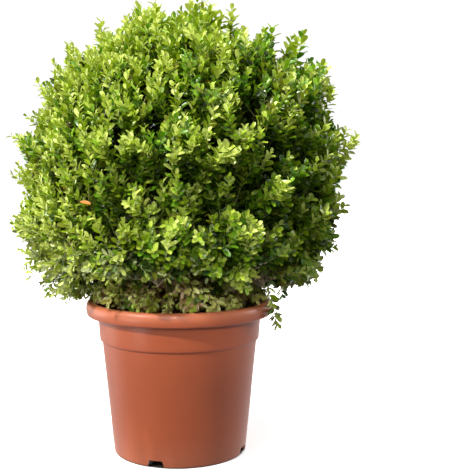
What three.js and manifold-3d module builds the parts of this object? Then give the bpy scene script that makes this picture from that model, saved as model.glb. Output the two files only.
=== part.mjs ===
// A box shrub clipped to a ball, growing in a round plastic pot the colour of terracotta.
// Millimetres, +Z up, with the front towards -Y. The origin is the centre of the pot's underside.
// The shrub has a short stem, one bough for each mass of foliage, and masses that fill the ball cell by cell.
// In a mass, twigs stand out of a dense core and end in sprays of leaves, each larger than life.

import * as THREE from "three";
import { ConvexGeometry } from "three/addons/geometries/ConvexGeometry.js";
import { mergeVertices } from "three/addons/utils/BufferGeometryUtils.js";
import Module from "manifold-3d";

const wasm = await Module();
wasm.setup();

const CLEARANCE = 0.3; // left between neighbours that touch on the real plant

// Pot
const POT_HEIGHT = 230;
const POT_SEGMENTS = 48;
const WALL = 2.6;
const FOOT_RADIUS = 99.5; // outer wall, at the ground
const SHOULDER_HEIGHT = 170; // where the wall steps out to the collar
const SHOULDER_RADIUS = 116.4; // outer wall, under the step
const COLLAR_FOOT_HEIGHT = 175;
const COLLAR_FOOT_RADIUS = 120;
const COLLAR_TOP_RADIUS = 122.6;
const LIP_FOOT_HEIGHT = 209.5;
const LIP_RADIUS = 140;
const LIP_CREST_RADIUS = 133; // where the lip is highest
const FOOT_ROUNDING = 3;
const FLOOR_UNDERSIDE = 6; // the floor stands clear of the ground between foot ring and hub
const FLOOR_TOP = 9;
const FOOT_RING_RADIUS = 76; // inside of the foot ring
const HUB_RADIUS = 32;
const FLOOR_SLOPE = 3; // run of the slopes up to the raised floor

// Drain notches in the pot's foot
const NOTCHES = 4;
const FIRST_NOTCH = -21; // degrees from the front, towards +X
const NOTCH_HEIGHT = 11;
const NOTCH_FOOT_WIDTH = 28;
const NOTCH_TOP_WIDTH = 20;
const NOTCH_DEPTH = 32; // inwards from just outside the foot

// Compost
const COMPOST_EDGE_HEIGHT = 213; // against the wall
const COMPOST_HEIGHT = 217; // round the stem
const COMPOST_FLAT_RADIUS = 60;

// Stem
const STEM_HEIGHT = 64;
const STEM_RADIUS = 14;
const STEM_SIDES = 15;
const STEM_STEPS = 7;
const FLARE_WIDTH = 11; // added to the radius at the ground
const FLARE_LOBES = 5;
const STEM_LEAN = new THREE.Vector2(5, -3); // of its top, from its foot

// Ball
const BALL_RADIUS = 251; // to the tips of the leaves
const BALL_CENTRE = new THREE.Vector3(0, 0, 417);
const LOWEST_SINE = -0.66; // of the elevation at which the ball ends below
const SKIRT_BULGE = 0.055; // by which the ball is fuller than a sphere, low down, as a share of its radius
const CORE_RADIUS = 208;
const CORE_INNER_RADIUS = 152;
const CELL_GAP = 3; // between a core and its neighbours' space, on each side

// Boughs, one for each mass: rings of them from the top down
const RINGS = [
  { name: "top", count: 1, elevation: 90, turn: 0, foot: 62, footRadius: 6.5, tipRadius: 3.8 },
  { name: "upper", count: 5, elevation: 41, turn: 14, foot: 41, footRadius: 5.4, tipRadius: 3.4 },
  { name: "lower", count: 7, elevation: -8, turn: 40, foot: 22, footRadius: 4.8, tipRadius: 3.2 },
];
const BOUGH_REACH = 116; // from the ball's centre to a bough's tip
const BOUGH_SIDES = 5;
const BOUGH_STEPS = 4;
const BOUGH_SAG = 0.22; // how far a bough swings out before it rises, as a share of its length
const FOOT_SCATTER = 4; // of the height at which a bough leaves the stem

// Twigs
const TWIGS = 128; // dealt evenly over the ball
const LOW_TWIGS = 8; // hang under the ball, over the compost and the pot's lip
const TWIG_ROOT_RADIUS = 3;
const TWIG_TIP_RADIUS = 2;
const TWIG_ROOT_REACH = 0.74; // of the ball's radius, inside the core
const TWIG_REACH = 1.01; // of the ball's radius, to the tip of the last leaf
const TWIG_SCATTER = 0.035;
const TWIG_LIFT = 0.3; // how far a twig turns upwards, as a share of its length
const GOLDEN_ANGLE = Math.PI * (3 - Math.sqrt(5));
const TWIG_STREAM = 11;
const LOW_STREAM = 23;
const BOUGH_STREAM = 37;

// Shoots that have grown past the clipped ball: the longest ones that show at its outline
const LONG_SHOOTS = [
  { elevation: 49, azimuth: 88, reach: 1.13 },
  { elevation: 35, azimuth: 85, reach: 1.1 },
  { elevation: 28, azimuth: 97, reach: 1.09 },
  { elevation: 10, azimuth: 92, reach: 1.1 },
  { elevation: 13, azimuth: -92, reach: 1.04 },
  { elevation: -17, azimuth: -86, reach: 1.04 },
  { elevation: -28, azimuth: -90, reach: 1.05 },
  { elevation: 88, azimuth: 90, reach: 1.04 },
];
const HANGING_SHOOT = { azimuth: 76, radius: 152, height: 210 }; // its twig's tip, beside the pot's lip

// Leaves
const LEAF_LENGTH = 36;
const LEAF_WIDTH = 23;
const LEAF_THICKNESS = 2.2;
const LEAF_FOLD = 3; // how far the edges stand above the midrib
const LEAF_ROOT = 1.6; // sunk past the twig's axis
const LEAF_SPREAD = 60; // degrees between a leaf of a pair and its twig
const PAIRS = [0.76]; // places of the leaf pairs along the twig's free end

const COLOURS = {
  pot: 0xb9603f,
  compost: 0x3a2a1e,
  bark: 0x8a7a58,
  foliage: 0x5d8a25,
};

// A repeatable random number from 0 to 1, for one count in one stream.
function draw(stream, count) {
  let t = (Math.imul(stream, 0x9e3779b1) + Math.imul(count + 1, 0x6d2b79f5)) >>> 0;
  t = Math.imul(t ^ (t >>> 15), t | 1);
  t ^= t + Math.imul(t ^ (t >>> 7), t | 61);
  return ((t ^ (t >>> 14)) >>> 0) / 4294967296;
}

// The same, from -1 to 1.
function swing(stream, count) {
  return 2 * draw(stream, count) - 1;
}

// A unit vector from degrees of elevation and of azimuth. Azimuth 0 is the front and 90 is +X.
function direction(elevation, azimuth) {
  const e = THREE.MathUtils.degToRad(elevation);
  const a = THREE.MathUtils.degToRad(azimuth);
  return new THREE.Vector3(Math.cos(e) * Math.sin(a), -Math.cos(e) * Math.cos(a), Math.sin(e));
}

// A closed three.js geometry as a solid that can be joined and cut.
function solidOf(geometry) {
  const bare = geometry.index ? geometry.toNonIndexed() : geometry.clone();
  const welded = mergeVertices(
    new THREE.BufferGeometry().setAttribute("position", bare.getAttribute("position")),
    1e-3,
  );
  return new wasm.Manifold(
    new wasm.Mesh({
      numProp: 3,
      vertProperties: new Float32Array(welded.attributes.position.array),
      triVerts: new Uint32Array(welded.index.array),
    }),
  );
}

// The largest body of a solid, with its sealed hollows filled and loose scraps dropped.
function largestBody(solid) {
  return solid.decompose().reduce((best, body) => (body.volume() > best.volume() ? body : best));
}

// A solid back as a three.js geometry.
function geometryOf(solid) {
  const mesh = solid.getMesh();
  const positions = new Float32Array(mesh.numVert * 3);
  for (let i = 0; i < mesh.numVert; i++) {
    positions.set(mesh.vertProperties.subarray(i * mesh.numProp, i * mesh.numProp + 3), i * 3);
  }
  const geometry = new THREE.BufferGeometry();
  geometry.setAttribute("position", new THREE.BufferAttribute(positions, 3));
  geometry.setIndex(new THREE.BufferAttribute(mesh.triVerts, 1));
  return geometry;
}

// A profile of radius and height turned round the Z axis.
function turned(points) {
  return new THREE.LatheGeometry(points, POT_SEGMENTS).rotateX(Math.PI / 2);
}

// The outer radius of the pot's plain wall at a height.
function wallRadius(height) {
  return FOOT_RADIUS + ((SHOULDER_RADIUS - FOOT_RADIUS) * height) / SHOULDER_HEIGHT;
}

// The pot's section, from the hub under its floor, out and up the wall, over the lip and down inside.
function potSection() {
  const section = new THREE.Path();
  section.moveTo(0, 0);
  section.lineTo(HUB_RADIUS, 0);
  section.lineTo(HUB_RADIUS + FLOOR_SLOPE, FLOOR_UNDERSIDE);
  section.lineTo(FOOT_RING_RADIUS - FLOOR_SLOPE, FLOOR_UNDERSIDE);
  section.lineTo(FOOT_RING_RADIUS, 0);
  section.lineTo(FOOT_RADIUS - FOOT_ROUNDING, 0);
  section.quadraticCurveTo(FOOT_RADIUS, 0, wallRadius(FOOT_ROUNDING), FOOT_ROUNDING);
  section.lineTo(SHOULDER_RADIUS, SHOULDER_HEIGHT);
  section.lineTo(COLLAR_FOOT_RADIUS, COLLAR_FOOT_HEIGHT);
  section.lineTo(COLLAR_TOP_RADIUS, LIP_FOOT_HEIGHT);
  section.lineTo(LIP_RADIUS - 3.6, LIP_FOOT_HEIGHT);
  section.quadraticCurveTo(LIP_RADIUS - 1, LIP_FOOT_HEIGHT, LIP_RADIUS - 0.6, LIP_FOOT_HEIGHT + 5);
  section.quadraticCurveTo(LIP_RADIUS + 0.6, POT_HEIGHT - 10, LIP_RADIUS - 0.6, POT_HEIGHT - 5);
  section.quadraticCurveTo(LIP_RADIUS - 1.8, POT_HEIGHT, LIP_CREST_RADIUS, POT_HEIGHT);
  section.quadraticCurveTo(LIP_CREST_RADIUS - 6.6, POT_HEIGHT, LIP_CREST_RADIUS - 8.6, POT_HEIGHT - 7.5);
  section.lineTo(COLLAR_TOP_RADIUS - WALL, LIP_FOOT_HEIGHT);
  section.lineTo(COLLAR_FOOT_RADIUS - WALL, COLLAR_FOOT_HEIGHT);
  section.lineTo(SHOULDER_RADIUS - WALL, SHOULDER_HEIGHT);
  section.lineTo(wallRadius(FLOOR_TOP) - WALL, FLOOR_TOP);
  section.lineTo(0, FLOOR_TOP);
  return section.getPoints(2);
}

// One drain notch as the solid that is cut away: a trapezium, extruded inwards through foot and wall.
function notchCutter(azimuth) {
  const outline = new THREE.Shape();
  outline.moveTo(-NOTCH_FOOT_WIDTH / 2, -1);
  outline.lineTo(NOTCH_FOOT_WIDTH / 2, -1);
  outline.lineTo(NOTCH_TOP_WIDTH / 2, NOTCH_HEIGHT);
  outline.lineTo(-NOTCH_TOP_WIDTH / 2, NOTCH_HEIGHT);
  const cutter = new THREE.ExtrudeGeometry(outline, { depth: NOTCH_DEPTH, bevelEnabled: false });
  cutter.rotateX(Math.PI / 2);
  cutter.translate(0, -(FOOT_RADIUS + WALL - NOTCH_DEPTH), 0);
  cutter.rotateZ(THREE.MathUtils.degToRad(azimuth));
  return solidOf(cutter);
}

function potGeometry() {
  let pot = solidOf(turned(potSection()));
  for (let i = 0; i < NOTCHES; i++) {
    pot = pot.subtract(notchCutter(FIRST_NOTCH + (i * 360) / NOTCHES));
  }
  return geometryOf(pot);
}

// The compost fills the pot to just under its lip and is mounded slightly round the stem.
function compostGeometry() {
  const inside = WALL + CLEARANCE;
  const edgeShare = (COMPOST_EDGE_HEIGHT - LIP_FOOT_HEIGHT) / (POT_HEIGHT - 7.5 - LIP_FOOT_HEIGHT);
  const lipInner = THREE.MathUtils.lerp(COLLAR_TOP_RADIUS - WALL, LIP_CREST_RADIUS - 8.6, edgeShare);
  const bottom = FLOOR_TOP + CLEARANCE;
  return turned([
    new THREE.Vector2(0, bottom),
    new THREE.Vector2(wallRadius(bottom) - inside, bottom),
    new THREE.Vector2(SHOULDER_RADIUS - inside, SHOULDER_HEIGHT),
    new THREE.Vector2(COLLAR_FOOT_RADIUS - inside, COLLAR_FOOT_HEIGHT),
    new THREE.Vector2(COLLAR_TOP_RADIUS - inside, LIP_FOOT_HEIGHT),
    new THREE.Vector2(lipInner - CLEARANCE, COMPOST_EDGE_HEIGHT),
    new THREE.Vector2(COMPOST_FLAT_RADIUS, COMPOST_HEIGHT),
    new THREE.Vector2(0, COMPOST_HEIGHT),
  ]);
}

// A limb with closed ends: a cylinder bent along a curve, with its radius given by place and angle.
function limb(curve, radiusAt, sides, steps) {
  const geometry = new THREE.CylinderGeometry(1, 1, 1, sides, steps);
  const frames = curve.computeFrenetFrames(steps);
  const position = geometry.attributes.position;
  const vertex = new THREE.Vector3();
  for (let i = 0; i < position.count; i++) {
    vertex.fromBufferAttribute(position, i);
    const along = vertex.y + 0.5;
    const step = Math.round(along * steps);
    const radius = radiusAt(along, Math.atan2(vertex.z, vertex.x)) * Math.hypot(vertex.x, vertex.z);
    const angle = Math.atan2(vertex.z, vertex.x);
    const point = curve.getPointAt(along);
    point.addScaledVector(frames.normals[step], radius * Math.cos(angle));
    point.addScaledVector(frames.binormals[step], -radius * Math.sin(angle));
    position.setXYZ(i, point.x, point.y, point.z);
  }
  return solidOf(geometry);
}

const stemFoot = new THREE.Vector3(0, 0, COMPOST_HEIGHT + CLEARANCE);
const stemTop = stemFoot.clone().add(new THREE.Vector3(STEM_LEAN.x, STEM_LEAN.y, STEM_HEIGHT));
const stemCurve = new THREE.QuadraticBezierCurve3(
  stemFoot,
  stemFoot.clone().add(new THREE.Vector3(0, 0, STEM_HEIGHT / 2)),
  stemTop,
);

// The stem flares into lobes at the ground, narrows, and rounds off at the fork. grown widens it evenly.
function stemSolid(grown) {
  const radiusAt = (along, angle) => {
    const flare = FLARE_WIDTH * (1 - along) ** 6 * (1 + 0.35 * Math.cos(FLARE_LOBES * angle));
    const crown = Math.sqrt(Math.max(0, 1 - ((along - 0.82) / 0.19) ** 2));
    return (STEM_RADIUS + flare) * (along > 0.82 ? crown : 1) + grown;
  };
  return limb(stemCurve, radiusAt, STEM_SIDES, STEM_STEPS);
}

// Every mass of foliage, with the axis of its cell and the ring that it belongs to.
function listMasses() {
  const masses = [];
  for (const ring of RINGS) {
    for (let i = 0; i < ring.count; i++) {
      const azimuth = ring.turn + (i * 360) / ring.count;
      const suffix = ring.count > 1 ? `${ring.name}_${i + 1}` : ring.name;
      masses.push({ suffix, ring, azimuth, axis: direction(ring.elevation, azimuth) });
    }
  }
  return masses;
}

const masses = listMasses();

// The mass whose axis is nearest to a direction.
function nearestMass(way) {
  return masses.reduce((best, mass) => (mass.axis.dot(way) > best.axis.dot(way) ? mass : best));
}

// Whether a point stays in a mass's own cell, at least gap from each neighbour's.
function inCell(mass, point, gap) {
  const offset = point.clone().sub(BALL_CENTRE);
  return masses.every((other) => {
    if (other === mass) return true;
    const side = mass.axis.clone().sub(other.axis);
    return offset.dot(side) > gap * side.length();
  });
}

// The line of a bough, from inside the stem to its tip at its mass.
function boughCurve(mass, count) {
  const height = mass.ring.foot + FOOT_SCATTER * swing(BOUGH_STREAM, count);
  const start = stemCurve.getPointAt(Math.min(0.95, height / STEM_HEIGHT));
  const tip = BALL_CENTRE.clone().addScaledVector(mass.axis, BOUGH_REACH);
  const outward = new THREE.Vector3(mass.axis.x, mass.axis.y, 0);
  const length = start.distanceTo(tip);
  const middle = start.clone().lerp(tip, 0.5).addScaledVector(outward, BOUGH_SAG * length);
  return new THREE.QuadraticBezierCurve3(start, middle, tip);
}

function boughSolid(mass, curve) {
  const { footRadius, tipRadius } = mass.ring;
  return limb(curve, (along) => THREE.MathUtils.lerp(footRadius, tipRadius, along), BOUGH_SIDES, BOUGH_STEPS);
}

// How much further out than a sphere the ball lies, at the sine of an elevation.
function fullness(sine) {
  return 1 + SKIRT_BULGE * THREE.MathUtils.smoothstep(-sine, 0.1, 0.45);
}

// How far from its axis a mass's cell reaches, at one angle round that axis, as a unit vector in the cell.
function cellEdge(mass, across, up, angle) {
  const sideways = across.clone().multiplyScalar(Math.cos(angle)).addScaledVector(up, Math.sin(angle));
  let edge = mass.axis.clone();
  for (let tilt = 2; tilt < 60; tilt += 1) {
    const radians = THREE.MathUtils.degToRad(tilt);
    const way = mass.axis.clone().multiplyScalar(Math.cos(radians)).addScaledVector(sideways, Math.sin(radians));
    const point = BALL_CENTRE.clone().addScaledVector(way, CORE_RADIUS);
    if (way.z < LOWEST_SINE || !inCell(mass, point, CELL_GAP)) break;
    edge = way;
  }
  return edge;
}

// The dense core of a mass: the convex body over rings of points that follow the cell's edge.
function coreSolid(mass) {
  const rings = [
    { share: 1, radius: CORE_RADIUS - 24 },
    { share: 0.78, radius: CORE_RADIUS - 3 },
    { share: 0.96, radius: CORE_INNER_RADIUS },
  ];
  const across = new THREE.Vector3(-Math.sin(0.3), Math.cos(0.3), 0.1).cross(mass.axis).normalize();
  const up = mass.axis.clone().cross(across);
  const points = [BALL_CENTRE.clone().addScaledVector(mass.axis, CORE_RADIUS)];
  const angles = 18;
  for (let i = 0; i < angles; i++) {
    const edge = cellEdge(mass, across, up, (i * 2 * Math.PI) / angles);
    for (const { share, radius } of rings) {
      const way = mass.axis.clone().lerp(edge, share).normalize();
      points.push(BALL_CENTRE.clone().addScaledVector(way, radius * fullness(way.z)));
    }
  }
  return solidOf(new ConvexGeometry(points));
}

// The short stem by which a mass meets its bough's tip.
function stubSolid(mass, curve) {
  const tangent = curve.getTangentAt(1);
  const tip = curve.getPointAt(1);
  const root = tip.clone().addScaledVector(tangent, CLEARANCE);
  const end = BALL_CENTRE.clone().addScaledVector(mass.axis, CORE_INNER_RADIUS + 8);
  const line = new THREE.QuadraticBezierCurve3(
    root,
    root.clone().addScaledVector(tangent, root.distanceTo(end) / 3),
    end,
  );
  return limb(line, () => mass.ring.tipRadius, BOUGH_SIDES, 2);
}

// A twig from inside the core outwards, by its direction, the reach of its last leaf, and its turn.
function twigAlong(way, reach, turn) {
  const full = BALL_RADIUS * fullness(way.z);
  const tip = BALL_CENTRE.clone().addScaledVector(way, full * reach - LEAF_LENGTH + LEAF_ROOT);
  const root = BALL_CENTRE.clone().addScaledVector(way, full * TWIG_ROOT_REACH);
  root.z -= TWIG_LIFT * root.distanceTo(tip) * Math.sqrt(1 - way.z ** 2);
  return { root, tip, mass: nearestMass(way), turn };
}

// A twig that hangs out of the underside of the ball, by its azimuth and its tip's radius and height.
function twigBelow(azimuth, radius, height) {
  const way = direction(-36, azimuth);
  const root = BALL_CENTRE.clone().addScaledVector(way, CORE_RADIUS - 18);
  const tip = direction(0, azimuth).multiplyScalar(radius);
  tip.z = height;
  return { root, tip, mass: nearestMass(way), turn: 0.5 };
}

// All twigs. They are dealt over the ball along a golden spiral, then come the long shoots and the low twigs.
function listTwigs() {
  const twigs = [];
  for (let i = 0; i < TWIGS; i++) {
    const elevation = THREE.MathUtils.radToDeg(Math.asin(1 - ((i + 0.5) / TWIGS) * (1 - LOWEST_SINE)));
    const azimuth = THREE.MathUtils.radToDeg(i * GOLDEN_ANGLE);
    const way = direction(elevation + 3 * swing(TWIG_STREAM, 4 * i), azimuth + 4 * swing(TWIG_STREAM, 4 * i + 1));
    const reach = TWIG_REACH + TWIG_SCATTER * swing(TWIG_STREAM, 4 * i + 2);
    twigs.push(twigAlong(way, reach, Math.PI * draw(TWIG_STREAM, 4 * i + 3)));
  }
  for (const { elevation, azimuth, reach } of LONG_SHOOTS) {
    twigs.push(twigAlong(direction(elevation, azimuth), reach, azimuth));
  }
  for (let i = 0; i < LOW_TWIGS; i++) {
    const azimuth = (i * 360) / LOW_TWIGS + 6 * swing(LOW_STREAM, 3 * i);
    const radius = 118 + 34 * draw(LOW_STREAM, 3 * i + 1);
    twigs.push(twigBelow(azimuth, radius, POT_HEIGHT + 12 + 14 * draw(LOW_STREAM, 3 * i + 2)));
  }
  twigs.push(twigBelow(HANGING_SHOOT.azimuth, HANGING_SHOOT.radius, HANGING_SHOOT.height));
  return twigs;
}

// A leaf: a pointed oval blade, folded up a little along its midrib, from its root along way.
function leafGeometry(root, way, face) {
  const across = way.clone().cross(face).normalize();
  const place = (along, aside, above) =>
    root
      .clone()
      .addScaledVector(way, along * LEAF_LENGTH)
      .addScaledVector(across, aside * LEAF_WIDTH)
      .addScaledVector(face, above);
  const rim = [place(0, 0, 0), place(0.55, -0.5, LEAF_FOLD), place(1, 0, 0), place(0.55, 0.5, LEAF_FOLD)];
  const top = place(0.55, 0, LEAF_THICKNESS / 2);
  const bottom = place(0.55, 0, -LEAF_THICKNESS / 2);
  const corners = [];
  rim.forEach((corner, i) => {
    const next = rim[(i + 1) % rim.length];
    corners.push(next, corner, top, corner, next, bottom);
  });
  return { points: [...rim, top, bottom], geometry: new THREE.BufferGeometry().setFromPoints(corners) };
}

// The leaves of a twig: opposite pairs, each turned a quarter from the last, and one at the tip.
function twigLeaves(twig) {
  const along = twig.tip.clone().sub(twig.root).normalize();
  const side = new THREE.Vector3(0.31, 0.17, 0.93).cross(along).normalize();
  const spread = THREE.MathUtils.degToRad(LEAF_SPREAD);
  const leaves = [];
  PAIRS.forEach((place, count) => {
    const node = twig.root.clone().lerp(twig.tip, place);
    for (const half of [0, Math.PI]) {
      const out = side.clone().applyAxisAngle(along, twig.turn + (count * Math.PI) / 2 + half);
      const way = along.clone().multiplyScalar(Math.cos(spread)).addScaledVector(out, Math.sin(spread));
      const face = along.clone().multiplyScalar(Math.sin(spread)).addScaledVector(out, -Math.cos(spread));
      leaves.push(leafGeometry(node.clone().addScaledVector(way, -LEAF_ROOT), way, face));
    }
  });
  const face = side.clone().applyAxisAngle(along, twig.turn);
  leaves.push(leafGeometry(twig.tip.clone().addScaledVector(along, -LEAF_ROOT), along, face));
  return leaves;
}

// Whether a point is clear of compost, pot, stem and boughs.
function isClear(point) {
  const out = Math.hypot(point.x, point.y);
  if (out < LIP_RADIUS + 2 && point.z < (out < LIP_CREST_RADIUS - 10 ? COMPOST_HEIGHT + 2 : POT_HEIGHT + 1)) {
    return false;
  }
  return out > 2 * STEM_RADIUS;
}

function massSolid(mass, curve, twigs) {
  const fits = (points) => points.every((point) => inCell(mass, point, CLEARANCE) && isClear(point));
  const parts = [coreSolid(mass), stubSolid(mass, curve)];
  for (const twig of twigs) {
    if (!fits([twig.root, twig.tip])) continue;
    const line = new THREE.LineCurve3(twig.root, twig.tip);
    const taper = (along) => THREE.MathUtils.lerp(TWIG_ROOT_RADIUS, TWIG_TIP_RADIUS, along);
    parts.push(limb(line, taper, 3, 1));
    for (const leaf of twigLeaves(twig)) {
      if (fits(leaf.points)) parts.push(solidOf(leaf.geometry));
    }
  }
  return largestBody(parts.reduce((whole, part) => whole.add(part)));
}

function material(colour, roughness) {
  return new THREE.MeshStandardMaterial({ color: colour, roughness, metalness: 0 });
}

const plant = new THREE.Group();

function addPiece(name, geometry, colour, roughness) {
  const mesh = new THREE.Mesh(geometry, material(colour, roughness));
  mesh.name = name;
  plant.add(mesh);
}

addPiece("pot", potGeometry(), COLOURS.pot, 0.5);
addPiece("compost", compostGeometry(), COLOURS.compost, 0.95);
addPiece("stem", geometryOf(stemSolid(0)), COLOURS.bark, 0.85);

const stemRoom = stemSolid(CLEARANCE);
const twigs = listTwigs();
masses.forEach((mass, count) => {
  const curve = boughCurve(mass, count);
  const bough = boughSolid(mass, curve).subtract(stemRoom);
  const own = twigs.filter((twig) => twig.mass === mass);
  addPiece(`bough_${mass.suffix}`, geometryOf(bough), COLOURS.bark, 0.85);
  addPiece(`foliage_${mass.suffix}`, geometryOf(massSolid(mass, curve, own)), COLOURS.foliage, 0.55);
});

export default plant;
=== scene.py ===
"""A box shrub clipped to a ball, in a round plastic pot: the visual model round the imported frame.

Shapes are in millimetres, with +Z up and the front towards -Y, and become metres in make_piece. Azimuth 0 is
the front and 90 is +X. The crown grows by its solids' own seeded rule, carried on to fine shoots and leaves.
The first number given to draw, swing and chance is a stream, which is only a seed.
"""

import math

import bpy
import numpy as np
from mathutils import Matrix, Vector


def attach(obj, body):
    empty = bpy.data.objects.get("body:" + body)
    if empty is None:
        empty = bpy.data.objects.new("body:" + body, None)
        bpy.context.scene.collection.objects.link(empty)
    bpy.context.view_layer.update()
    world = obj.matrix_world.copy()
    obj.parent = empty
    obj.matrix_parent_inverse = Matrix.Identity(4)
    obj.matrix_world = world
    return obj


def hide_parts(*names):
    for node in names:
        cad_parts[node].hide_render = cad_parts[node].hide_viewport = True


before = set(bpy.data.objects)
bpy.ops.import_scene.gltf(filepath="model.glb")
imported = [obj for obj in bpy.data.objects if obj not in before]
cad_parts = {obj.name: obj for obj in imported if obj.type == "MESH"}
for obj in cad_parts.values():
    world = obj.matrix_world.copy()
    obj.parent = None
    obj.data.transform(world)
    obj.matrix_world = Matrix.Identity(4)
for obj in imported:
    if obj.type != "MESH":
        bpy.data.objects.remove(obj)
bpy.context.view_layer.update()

MM = 0.001
TURN = 2 * math.pi
UP = np.array([0.0, 0.0, 1.0])
OFF_ZERO = np.array([0.013, 0.029, 0.017])  # keeps a vector of chance from vanishing

# Pot
WALL = 2.6
FLOOR_TOP = 9
FOOT_RADIUS = 99.5
FOOT_ROUNDING = 3
# Its section, by radius and height. STEP and every second point of LIP are the controls of curves.
UNDERSIDE = ((0, 0), (32, 0), (35, 6), (73, 6), (76, 0), (FOOT_RADIUS - FOOT_ROUNDING, 0))
SHOULDER = (116.4, 170)
STEP = (120, 170.8)
COLLAR_FOOT = (120, 175)
COLLAR_TOP = (122.6, 209.5)
LIP = (
    (136.4, 209.5), (139, 209.5), (139.4, 214.5), (140.6, 220), (139.4, 225),
    (138.2, 230), (133, 230), (126.4, 230), (124.4, 222.5),
)
NOTCHES = 4
FIRST_NOTCH = -21
NOTCH_HEIGHT = 11
NOTCH_FOOT_WIDTH = 28
NOTCH_TOP_WIDTH = 20
NOTCH_DEPTH = 32
POT_SEGMENTS = 192
SHARP_EDGE = 34

# Compost
COMPOST_EDGE_HEIGHT = 213
COMPOST_HEIGHT = 217
COMPOST_RINGS = 46
COMPOST_SEGMENTS = 150
CRUMBS = 900
CRUMBS_REACH = 119
CRUMB_SIZE, SIZE_RANGE = 1.2, 2.6
FALLEN_LEAVES = 420
LITTER_REACH, LITTER_RANGE = 60, 57  # from the axis

# Stem and boughs
STEM_HEIGHT = 64
STEM_RADIUS = 14
FLARE_WIDTH = 11
FLARE_LOBES = 5
LOBE_DEPTH = 0.35  # of the flare
STEM_LEAN = (5, -3)
STEM_CROWN, CROWN_LENGTH = 0.82, 0.19  # of its height: where it starts to round off, and over how much
CLEARANCE = 0.3
RINGS = (
    # count, elevation, first azimuth, height on the stem, foot radius, tip radius
    (1, 90, 0, 62, 6.5, 3.8),
    (5, 41, 14, 41, 5.4, 3.4),
    (7, -8, 40, 22, 4.8, 3.2),
)
BOUGH_REACH = 116
BOUGH_SAG = 0.22
FOOT_SCATTER = 4
BOUGH_WANDER = 3.5
STEM_RELIEF, BOUGH_RELIEF = 0.06, 0.09  # of the radius

# Ball
BALL_RADIUS = 251
BALL_CENTRE = np.array([0.0, 0.0, 417.0])
LOWEST_SINE = -0.66
SKIRT_BULGE = 0.055
GOLDEN_ANGLE = math.pi * (3 - math.sqrt(5))
TWIGS = 128
TWIG_ROOT_REACH = 0.74
TWIG_REACH = 1.01
TWIG_SCATTER = 0.035
TWIG_LIFT = 0.3
TWIG_JITTER = (3, 4)  # degrees up and round
SOLID_LEAF = 34.4  # by which a twig of the solids ends short of its last leaf's tip
LONG_SHOOTS = (
    # elevation, azimuth, reach
    (49, 88, 1.13), (35, 85, 1.1), (28, 97, 1.09), (10, 92, 1.1),
    (13, -92, 1.04), (-17, -86, 1.04), (-28, -90, 1.05), (88, 90, 1.04),
)
HANGING_SHOOTS = (
    # azimuth of the root and of the tip, and the tip's radius and height
    (48, 66, 151, 202), (52, 60, 147, 234), (60, 74, 154, 242), (-66, -72, 168, 236),
    (-72, -77, 192, 244), (-80, -86, 219, 262), (-90, -97, 204, 250),
)
TUFTS = (
    # shoots that stand clear in the outline: degrees clockwise from the top, and share of the ball's radius
    (-135, 1.0), (-129, 1.05), (-122, 1.04), (-106, 1.04), (-88, 0.96), (-77, 1.02), (-57, 1.01), (-40, 1.02),
    (-27, 1.03), (-18, 0.99), (-13, 1.03), (-8, 1.02), (5, 1.01), (11, 1.04), (18, 1.05), (33, 1.06),
    (42, 1.13), (53, 1.1), (60, 1.08), (78, 1.11), (85, 1.02), (101, 1.03), (123, 1.03), (130, 1.03),
)
TWIG_STREAM = 11
BOUGH_STREAM = 37

# Shoots
SHOOTS = 3450
SHOOT_LOWEST_SINE = -0.82
SHOOT_JITTER = 1.5  # degrees
INNER_SHOOTS = 1300
CLUMP_PULL = 0.3  # how far shoots gather to the twig that bears them
UNDERSIDE_HEIGHT = 243  # the ball is clipped flat over the pot
FRONT_LIFT = 50  # and higher at the front
LIFT_MIDDLE, LIFT_SPAN, LIFT_FADE = 2, 84, 40  # degrees of azimuth, the span to either side
UNDERSIDE_SCATTER = 9
FACE_REACH = 0.932  # of the ball's radius, for the tip of a middling shoot's stem
CLUMP_REACH, REACH_SCATTER, VIGOUR_REACH = 0.042, 0.03, 0.035  # what is added to it
SHORT_SHARE = 0.25
LONG_SHARE = 0.06
OUTWARD, UPWARD, ASIDE = 0.62, 0.85, 0.6  # what a tip's heading is made of
LOOK_BACK = 55  # down a shoot from its tip, where the twig that bears it is sought
SHORTEST_SHOOT = 42
BACK, INWARD = 30, 22  # from the tip of one that would be shorter, to where it starts instead
CURVED = 1.06  # a shoot's length over its chord's
STEM_RINGS = 4
OUTLINE = (
    # the crown's outline from the front: degrees clockwise from the top, and its share of the ball's radius
    (-180, 1.0), (-136, 1.05), (-128, 1.0), (-120, 1.02), (-115, 0.98), (-110, 1.01), (-106, 1.06),
    (-100, 0.95), (-95, 0.9), (-89, 0.98), (-84, 0.85), (-77, 1.01), (-72, 0.89), (-67, 0.96), (-62, 0.89),
    (-57, 0.95), (-54, 0.93), (-50, 0.99), (-46, 0.91), (-40, 1.0), (-37, 0.92), (-31, 0.87), (-27, 0.98),
    (-24, 0.88), (-12, 1.02), (-3, 0.94), (9, 1.02), (14.5, 0.88), (25, 0.94), (29, 0.92), (34, 1.02),
    (39, 0.86), (41, 0.86), (44, 1.02), (47, 0.95), (51, 1.04), (54, 1.08), (58, 0.97), (64, 0.95),
    (70, 0.94), (77, 1.03), (82, 0.92), (88, 1.0), (94, 0.93), (104, 1.02), (114, 0.99), (121, 0.86),
    (124, 1.0), (131, 1.0), (138, 0.87), (180, 1.0),
)
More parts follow.
